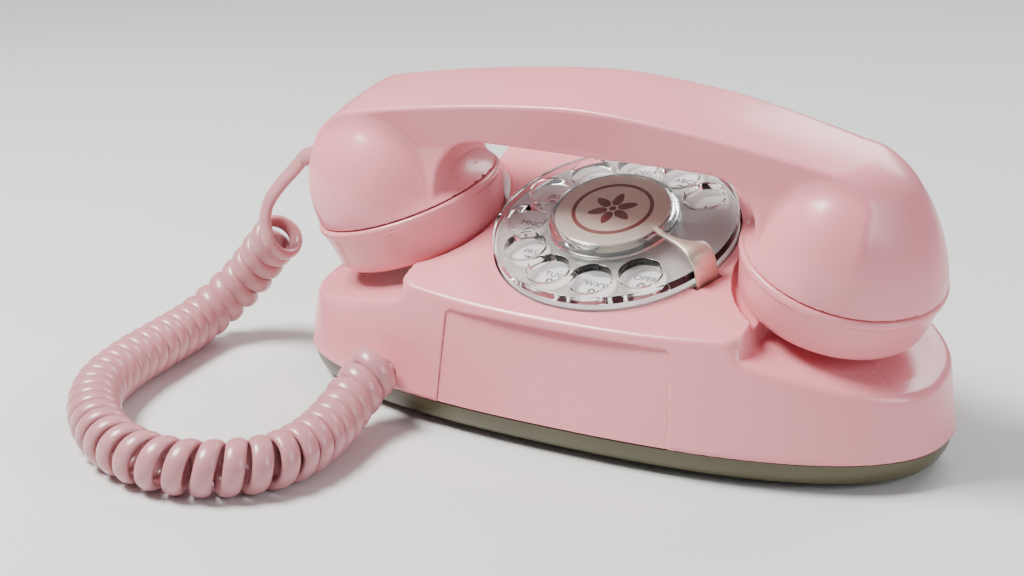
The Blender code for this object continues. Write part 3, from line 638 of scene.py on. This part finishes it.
def handset_top(x):
    """Height of the band's upper face along the handset."""
    return 42.0 - 0.062 * (np.sqrt(x**2 + 64.0) - 8.0) - 0.00093 * x**2


def handset_field(points):
    p = local(points, HANDSET)
    x, y, z = np.abs(p[:, 0]), p[:, 1], p[:, 2]
    tilt = math.radians(CUP_TILT)
    along = (x - CUP_X) * math.cos(tilt) - z * math.sin(tilt)
    height = (x - CUP_X) * math.sin(tilt) + z * math.cos(tilt)
    top = (z - handset_top(x) + 0.9 * (y / BAND_W) ** 2 - 1.4) * 0.97
    # The band's sides draw in below its edge and spread again on their way down beside the cups.
    spread = 0.012 * np.maximum(27.0 - z, 0) ** 2 * np.clip((68 - x) / 14, 0, 1)
    width = np.maximum(BAND_W - 0.9 - BAND_TAPER * (handset_top(x) - z), BAND_LEAST_W) + spread
    side = (np.abs(y) - width) * 0.92
    arch = round_max(x - ARCH_X, z - ARCH_Z, ARCH_R)
    handle = round_max(side, -arch, 1.0)
    lip = np.maximum(height, 0)
    far = np.where(along > 0, SEAM_R + 0.22 * lip, SEAM_R - 5.0 * (1 - np.exp(-lip / 3.0)))
    scaled = np.sqrt((along / far) ** 2 + (y / SEAM_R) ** 2 + (height / DOME_H) ** 2)
    dome = (scaled - 1) * np.sqrt(along**2 + y**2 + height**2) / np.maximum(scaled, 1e-6)
    body = soft_min(handle, dome, 0.8 + 3.2 * np.clip((height - 7) / 18, 0, 1))
    fade = np.clip(height / 26.0, 0, 1)
    # The receiver's end is bowed in plan, the cord's end nearly flat.
    bow = np.where(p[:, 0] > 0, 0.85 * (np.hypot(y, 10) - 10), 0.0033 * y**2) * fade
    bow += (SEAM_R - np.sqrt(np.maximum(SEAM_R**2 - y**2, 4.0))) * (1 - fade)
    end = (along - (SEAM_R - 0.17 * height - 0.0135 * height * np.abs(height) - bow)) * 0.85
    # The edge is softest at the back of the top towards the receiver's end.
    high, behind = np.clip((height - 12) / 15, 0, 1), np.clip(y / 6, 0, 1)
    edge = 1.1 + high * behind * np.clip((p[:, 0] - 35) / 40, 0, 1) * 7.5
    shell = round_max(body, round_max(top, end, 8.0), edge)
    shell = round_max(shell, 0.1 - height, 0.4)
    cavity = np.maximum(np.hypot(along, y) - 25.4, height - 3.5)
    core = np.maximum(np.hypot(along, y) - 19.0, height - 15.0)
    shell = np.maximum(shell, -np.minimum(cavity, core))
    relief = local(points, HAND_RELIEF)
    across = np.hypot(relief[:, 0], relief[:, 1])
    socket = np.maximum(across - RELIEF_SOCKET_R, np.abs(relief[:, 2] + 9) - 11)
    return np.maximum(shell, -socket)


def add_handset():
    step = HANDSET_STEP
    mesh = field_mesh(handset_field, (-106, -38, 45), (106, 34, 112), step)
    add_piece("handset_body", mesh, PINK, "handset", ("handset_shell",))


# Housing

def housing_wall(p):
    """Distance outside the drafted oval wall."""
    inset = DRAFT * (p[:, 2] - SEAM_Z)
    x = np.abs(p[:, 0]) / (BASE_A - inset)
    y = np.abs(p[:, 1]) / (BASE_B - inset)
    scaled = (x**BASE_N + y**BASE_N) ** (1 / BASE_N)
    return (scaled - 1) * np.hypot(p[:, 0], p[:, 1]) / np.maximum(scaled, 1e-6)


def well_height(p):
    """Height of the lower decks beside the raised middle, which slope and are slightly dished."""
    plane = RIM_Z - (np.abs(p[:, 0]) - 75) * math.tan(math.radians(WELL_TILT))
    plane = plane + (p[:, 1] + 43.7) * math.tan(math.radians(WELL_RISE))
    far = np.hypot(np.abs(p[:, 0]) - 70, p[:, 1]) / 27
    return plane - WELL_DISH * np.maximum(0.0, 1 - far * far)


def housing_field(p):
    wall = housing_wall(p)
    platform = local(p, DIAL)[:, 2]
    well = (p[:, 2] - well_height(p)) * 0.95
    # The rounding is small on the wells' rims and larger on the plan corners of the raised middle.
    steps = round_min(np.abs(p[:, 0]) - PLATFORM_X, well, 1.2)
    body = round_max(steps, wall, 1.9 + 3.1 * np.clip(well / 3.0, 0, 1))
    body = round_max(body, platform, 1.2)
    body = round_max(body, SEAM_Z - p[:, 2], 1.2)
    for side, sign in (("left", -1), ("right", 1)):
        cup = local(p, CUPS[side])[:, 2]
        pocket = np.hypot(p[:, 0] - sign * POCKET_X, p[:, 1] - POCKET_Y) - POCKET_R
        body = round_max(body, -round_max(pocket, -(cup + CAP_H + CAP_GAP), 1.5), 0.5)
        # The plunger's hole, and under it the well its collar rises in.
        from_axis = np.hypot(p[:, 0] - sign * PLUNGER_X, p[:, 1] - PLUNGER_Y)
        hole = np.maximum(from_axis - PLUNGER_HOLE_R, 30 - p[:, 2])
        chamber = np.maximum(from_axis - COLLAR_WELL_R, np.abs(p[:, 2] - COLLAR_WELL_Z) - COLLAR_WELL_HALF)
        body = np.maximum(body, -np.minimum(hole, chamber))
    dial = local(p, DIAL)
    opening = np.maximum(np.hypot(dial[:, 0], dial[:, 1]) - DIAL_OPENING_R, DIAL_FLOOR - dial[:, 2])
    stop = local(p, STOP)
    slot = np.maximum(np.abs(stop[:, 0] - 38.3) - 1.7, np.abs(stop[:, 1] - 4.0) - 4.7)
    slot = np.maximum(slot, DIAL_FLOOR - stop[:, 2])
    body = round_max(body, -opening, 0.3)
    body = np.maximum(body, -slot)
    panel = round_max(np.abs(p[:, 0] - PANEL_X) - panel_half(p[:, 2]), p[:, 2] - PANEL_TOP, 2.0)
    panel = np.maximum(panel, p[:, 1])
    body = round_max(body, -np.maximum(panel, -(wall + PANEL_DEPTH)), 0.45)
    for matrix, radius in ((BASE_RELIEF, RELIEF_SOCKET_R), (INLET, INLET_R)):
        q = local(p, matrix)
        body = np.maximum(body, -np.maximum(np.hypot(q[:, 0], q[:, 1]) - radius, np.abs(q[:, 2]) - 8))
    notch = np.maximum(np.abs(p[:, 0] - SLIDER_X) - 7, np.abs(p[:, 2] - SLIDER_Z) - 2.2)
    return np.maximum(body, -np.maximum(notch, SLIDER_Y - 6 - p[:, 1]))


INLET = toward((38, -front_wall_y(38, 16), 16), (0.09, 1, 0))
SLIDER_Y = -front_wall_y(SLIDER_X, 20)


def panel_half(z):
    """Half the recess's width, which narrows upwards."""
    return 37.9 - 0.055 * (z - 8)


def panel_piece():
    """The shallow recess in the front wall, deepest under the middle of its upper edge."""
    shares = np.linspace(-1, 1, 60)
    zs = np.concatenate([np.linspace(SEAM_Z + 0.3, PANEL_TOP - 1, 24), [PANEL_TOP - 0.2]])
    rows = []
    for z in zs:
        rise = min(max((z - 14) / 24, 0.0), 1.0)
        row = []
        for share in shares:
            x = PANEL_X + (panel_half(z) - 0.16) * share
            row.append((x, front_wall_y(x, z) + 0.45 + 1.5 * rise * (1 - share**2), z))
        rows.append(row)
    back = [[(x, y + 1.2, z) for x, y, z in row] for row in rows]
    width, height = len(shares), len(zs)
    vertices = [v for row in rows for v in row] + [v for row in back for v in row]
    skip = width * height
    faces = []
    for j in range(height - 1):
        for i in range(width - 1):
            a = j * width + i
            faces.append((a, a + 1, a + width + 1, a + width))
            faces.append((skip + a, skip + a + width, skip + a + width + 1, skip + a + 1))
    rim = [*range(width), *(j * width + width - 1 for j in range(1, height))]
    rim += [(height - 1) * width + i for i in range(width - 2, -1, -1)]
    rim += [j * width for j in range(height - 2, 0, -1)]
    for a, b in zip(rim, rim[1:] + rim[:1]):
        faces.append((b, a, skip + a, skip + b))
    return mesh_of(vertices, faces)


def add_housing():
    step = HOUSING_STEP
    mesh = field_mesh(housing_field, (-108, -50, 6), (108, 50, 80), step)
    add_piece("housing_shell", mesh, PINK, "base", ("housing",))
    add_piece("front_recess", panel_piece(), PINK, "base", ("housing",))


# Base pan

def outline(inset, z, count=200):
    """The base's oval at the height, drawn in by the inset."""
    ring = []
    for k in range(count):
        angle = 2 * math.pi * k / count
        c, s = math.cos(angle), math.sin(angle)
        x = math.copysign(abs(c) ** (2 / BASE_N), c) * (BASE_A - inset)
        y = math.copysign(abs(s) ** (2 / BASE_N), s) * (BASE_B - inset)
        ring.append((x, y, z))
    return ring


def add_pan():
    outer = [(14.0, 2.4), (11.5, 2.4), (9.6, 1.5), (6.4, 1.5), (4.0, 2.3), (2.3, 4.2), (1.2, 7.0), (0.9, 9.0)]
    inner = [(2.3, 9.0), (3.2, 6.6), (5.4, 4.8), (11.0, 3.6), (14.0, 3.6)]
    profile = rounded(outer, 1.6) + rounded(inner, 1.0)
    mesh = loft([outline(inset, z) for inset, z in profile], degrees=40)
    pan = add_piece("pan", mesh, OLIVE, "base", ("base_pan",))
    # Holes for the feet, the screws and the volume wheel, then the ringer's slots.
    holes = [(x, y, 2.5, 24) for x in (-74, 74) for y in (-18, 18)]
    holes += [(x, -31, 2.1, 24) for x in (-46, 46)]
    holes.append((57, -20, 8.4, 48))
    cuts = []
    for x, y, radius, steps in holes:
        cuts.append(lathe([(0, 6), (radius, 6), (radius, 1), (0, 1)], steps))
        cuts[-1].transform(Matrix.Translation((x, y, 0)))
    for k in range(5):
        corners = [(40, 4 * k - 1.1), (60, 4 * k - 1.1), (60, 4 * k + 1.1), (40, 4 * k + 1.1)]
        cuts.append(loft([[(x, y, z) for x, y in corners] for z in (1, 6)]))
    carve(pan, cuts)
    soften(pan.data, 40)


def carve(target, cutters):
    """Cuts the meshes, in millimetres, out of the target and applies the cuts."""
    helpers = []
    for mesh in cutters:
        mesh.transform(Matrix.Scale(MM, 4))
        helper = bpy.data.objects.new("cutter", mesh)
        bpy.context.scene.collection.objects.link(helper)
        helpers.append(helper)
        cut = target.modifiers.new("cut", "BOOLEAN")
        cut.operation = "DIFFERENCE"
        cut.solver = "EXACT"
        cut.object = helper
    graph = bpy.context.evaluated_depsgraph_get()
    solid = bpy.data.meshes.new_from_object(target.evaluated_get(graph))
    target.modifiers.clear()
    target.data = solid
    for helper in helpers:
        bpy.data.objects.remove(helper)


# Caps

# (radius, count) of the rings of sound holes in each cap.
SOUND_HOLES = {"left": ("transmitter_cap", ((5, 5), (12, 9))), "right": ("receiver_cap", ((6, 6),))}
CAP_PROFILE = [
    (0, -13.8), (24.4, -13.8), (26.2, -0.4), (29.7, -0.4), (30.3, -1.0), (30.3, -2.5), (29.7, -3.2),
    (27.7, -14.2), (26.7, -15.8), (25.0, -CAP_H), (0, -CAP_H),
]


def add_caps():
    for side, (node, rings) in SOUND_HOLES.items():
        mesh = lathe(CAP_PROFILE[:2] + rounded(CAP_PROFILE[2:], 0.9, 3), 144, 50)
        cap = add_piece(node + "_turned", mesh, PINK, "handset", (node,), CUPS[side])
        cuts = []
        for radius, count in rings:
            for i in range(count):
                hole = lathe([(0, -10), (1.2, -10), (1.2, -20), (0, -20)], 24)
                about = turn("Z", 360 * i / count + 3.7)
                hole.transform(CUPS[side] @ about @ Matrix.Translation((radius, 0, 0)))
                cuts.append(hole)
        carve(cap, cuts)
        soften(cap.data, 50)


# Dial

# A Bezier handle's length for a quarter circle, in radii.
QUARTER = 0.5523


def flat_piece(name, circles, low, high, edge, look, body, replaced, steps):
    """A plate in the dial's frame from (x, y, radius) circles, the first its outside, with rounded edges."""
    curve = bpy.data.curves.new(name, "CURVE")
    curve.dimensions = "2D"
    curve.fill_mode = "BOTH"
    curve.extrude = (high - low) / 2 - edge
    curve.bevel_depth = edge
    curve.bevel_resolution = 3
    curve.resolution_u = 24 * steps
    for k, (x, y, radius) in enumerate(circles):
        line = curve.splines.new("BEZIER")
        line.bezier_points.add(3)
        line.use_cyclic_u = True
        radius = radius - edge if k == 0 else radius + edge
        for i, point in enumerate(line.bezier_points):
            angle = math.pi / 2 * i
            out = Vector((math.cos(angle), math.sin(angle), 0))
            aside = Vector((-math.sin(angle), math.cos(angle), 0)) * radius * QUARTER
            point.co = Vector((x, y, 0)) + out * radius
            point.handle_left, point.handle_right = point.co - aside, point.co + aside
            point.handle_left_type = point.handle_right_type = "FREE"
    holder = bpy.data.objects.new(name + "_outline", curve)
    mesh = bpy.data.meshes.new_from_object(holder)
    bpy.data.objects.remove(holder)
    place = DIAL @ Matrix.Translation((0, 0, (low + high) / 2))
    made = add_piece(name, mesh, look, body, replaced, place)
    soften(made.data, 35)
    return made


def hole_angles():
    return [math.radians(FIRST_HOLE + HOLE_STEP * k) for k in range(10)]


def add_wheel():
    circles = [(0, 0, WHEEL_R), (0, 0, 3.6)]
    circles += [(HOLE_RING_R * math.cos(a), HOLE_RING_R * math.sin(a), HOLE_R) for a in hole_angles()]
    flat_piece(
        "clear_finger_wheel", circles, 2.0, 4.7, 0.45, CLEAR, "dial", ("finger_wheel",), 2
    )
    flat_piece(
        "number_ring", [(0, 0, 36.9), (0, 0, 7.2)], -1.2, 0.4, 0.15, PLATE, "base", ("number_plate",),
        3,
    )


LETTERS = ["OPER", "WXY", "TUV", "PRS", "MNO", "JKL", "GHI", "DEF", "ABC", ""]


def text_mesh(text, size, matrix):
    """Raised letters, centred on the matrix."""
    curve = bpy.data.curves.new("text", "FONT")
    curve.body = text
    curve.size = size
    curve.align_x = "CENTER"
    curve.align_y = "CENTER"
    curve.extrude = 0.03
    curve.resolution_u = 4
    holder = bpy.data.objects.new("text", curve)
    mesh = bpy.data.meshes.new_from_object(holder)
    bpy.data.objects.remove(holder)
    mesh.transform(matrix)
    return mesh


def joined(meshes):
    """One mesh from several."""
    vertices, faces = [], []
    for mesh in meshes:
        skip = len(vertices)
        vertices += [tuple(v.co) for v in mesh.vertices]
        faces += [tuple(skip + i for i in face.vertices) for face in mesh.polygons]
    return mesh_of(vertices, faces, 30)


def add_numbers():
    """Digits, and the letters of the common alphabet of dials, under the finger holes."""
    marks = []
    for angle, digit, letters in zip(hole_angles(), "0987654321", LETTERS):
        at = Vector((HOLE_RING_R * math.cos(angle), HOLE_RING_R * math.sin(angle), 0.44))
        low, high = Vector((0, -1.7, 0)), Vector((0, 2.3, 0))
        marks.append(text_mesh(digit, 5.4, Matrix.Translation(at + low)))
        if letters:
            marks.append(text_mesh(letters, 3.0, Matrix.Translation(at + high)))
    add_piece("dial_digits", joined(marks), INK, "base", ("number_plate",), DIAL)


def add_hub():
    """The card with its ring and flower, under a clear dome."""
    card = rounded([(16.0, 8.4), (17.4, 8.4), (17.4, 5.6), (16.6, 5.6)], 0.5)
    card = lathe([(0, 8.4), *card, (16.6, 7.6), (0, 7.6)])
    add_piece("card", card, CARD, "dial", ("number_card",), DIAL)
    dome = [
        (0, 9.9), (13, 9.8), (17.6, 9.2), (19.5, 7.9), (20.4, 5.0), (17.8, 5.0), (17.75, 8.5), (17.0, 8.75),
        (0, 8.8),
    ]
    dome = lathe(rounded(dome, 0.7), degrees=50)
    add_piece("clear_hub", dome, CLEAR, "dial", ("dial_hub",), DIAL)
    marks = [lathe([(12.4, 8.46), (12.4, 8.32), (11.2, 8.32), (11.2, 8.46)], 96)]
    for k in range(6):
        petal = []
        for i in range(24):
            angle = 2 * math.pi * i / 24
            petal.append((4.6 + 3.0 * math.cos(angle), 1.5 * math.sin(angle) * (1 - 0.25 * math.cos(angle))))
        leaf = loft([[(x, y, z) for x, y in petal] for z in (8.32, 8.46)])
        leaf.transform(turn("Z", 60 * k + 30))
        marks.append(leaf)
    marks.append(lathe([(0, 8.46), (1.1, 8.46), (1.1, 8.32), (0, 8.32)], 32))
    add_piece("card_print", joined(marks), MAROON, "dial", ("number_card",), DIAL)


# Outwards, height, then where the strip's two sides are.
STOP_SPINE = [
    (38.75, -3.9, 0.1, 7.9), (38.75, 0.0, 0.1, 7.9), (38.75, 5.2, 0.1, 7.9), (38.2, 7.6, 0.1, 7.9),
    (36.8, 9.4, 0.1, 7.8), (34.8, 10.4, 0.3, 7.4), (32.5, 10.7, 0.5, 4.8), (29.8, 10.8, 0.6, 3.1),
    (26.0, 10.6, 0.6, 2.5), (22.5, 10.3, 0.6, 2.2), (18.8, 10.4, 0.9, 2.4),
]


def add_finger_stop():
    """A satin strip that stands beside the wheel, bends over it and narrows to its tip."""
    dense = smooth_curve(STOP_SPINE, 6)
    along = np.gradient(dense[:, :2], axis=0)
    along /= np.linalg.norm(along, axis=1)[:, None]
    half, edge = 0.55, 0.4
    rings = []
    for (x, z, low, high), (dx, dz) in zip(dense, along):
        ring = []
        for side, middle in ((-1, low + edge), (1, high - edge)):
            for k in range(7):
                angle = math.pi * k / 6
                out = half * math.cos(angle)
                y = middle + side * edge * math.sin(angle)
                ring.append((x + side * out * dz, y, z - side * out * dx))
        rings.append(ring)
    mesh = loft(rings, degrees=50)
    mesh.flip_normals()
    add_piece("finger_stop_strip", mesh, SATIN, "base", ("finger_stop",), STOP)


# The nodes that show as the CAD made them, by material.
LOOKS = {
    SATIN: ("dial_case", "transmitter_unit", "receiver_unit"),
    STEEL: ("housing_screw_left", "housing_screw_right", "ballast_weight", "ringer_bracket", "switch_bail",
            "switch_bracket", "dial_bracket", "dial_shaft", "pulse_pinion"),
    BRASS: ("ringer_gong", "ringer_clapper", "switch_springs", "main_gear", "governor_rotor", "pulse_springs",
            "lamp_socket"),
    RUBBER: ("foot_front_left", "foot_front_right", "foot_back_left", "foot_back_right"),
    DARK: ("network_block", "line_cord_inlet", "ringer_volume_wheel", "transmitter_holder"),
    WHITE: ("nightlight_slider", "plunger_left", "plunger_right"),
    COPPER: ("ringer_coil",),
    CLEAR: ("night_lamp",),
}


def dress_cad():
    for look, names in LOOKS.items():
        for name in names:
            NODES[name].data.materials.clear()
            NODES[name].data.materials.append(look)


add_camera()
add_cord()
add_stage()
add_handset()
add_housing()
add_pan()
add_caps()
add_wheel()
add_numbers()
add_hub()
add_finger_stop()
dress_cad()
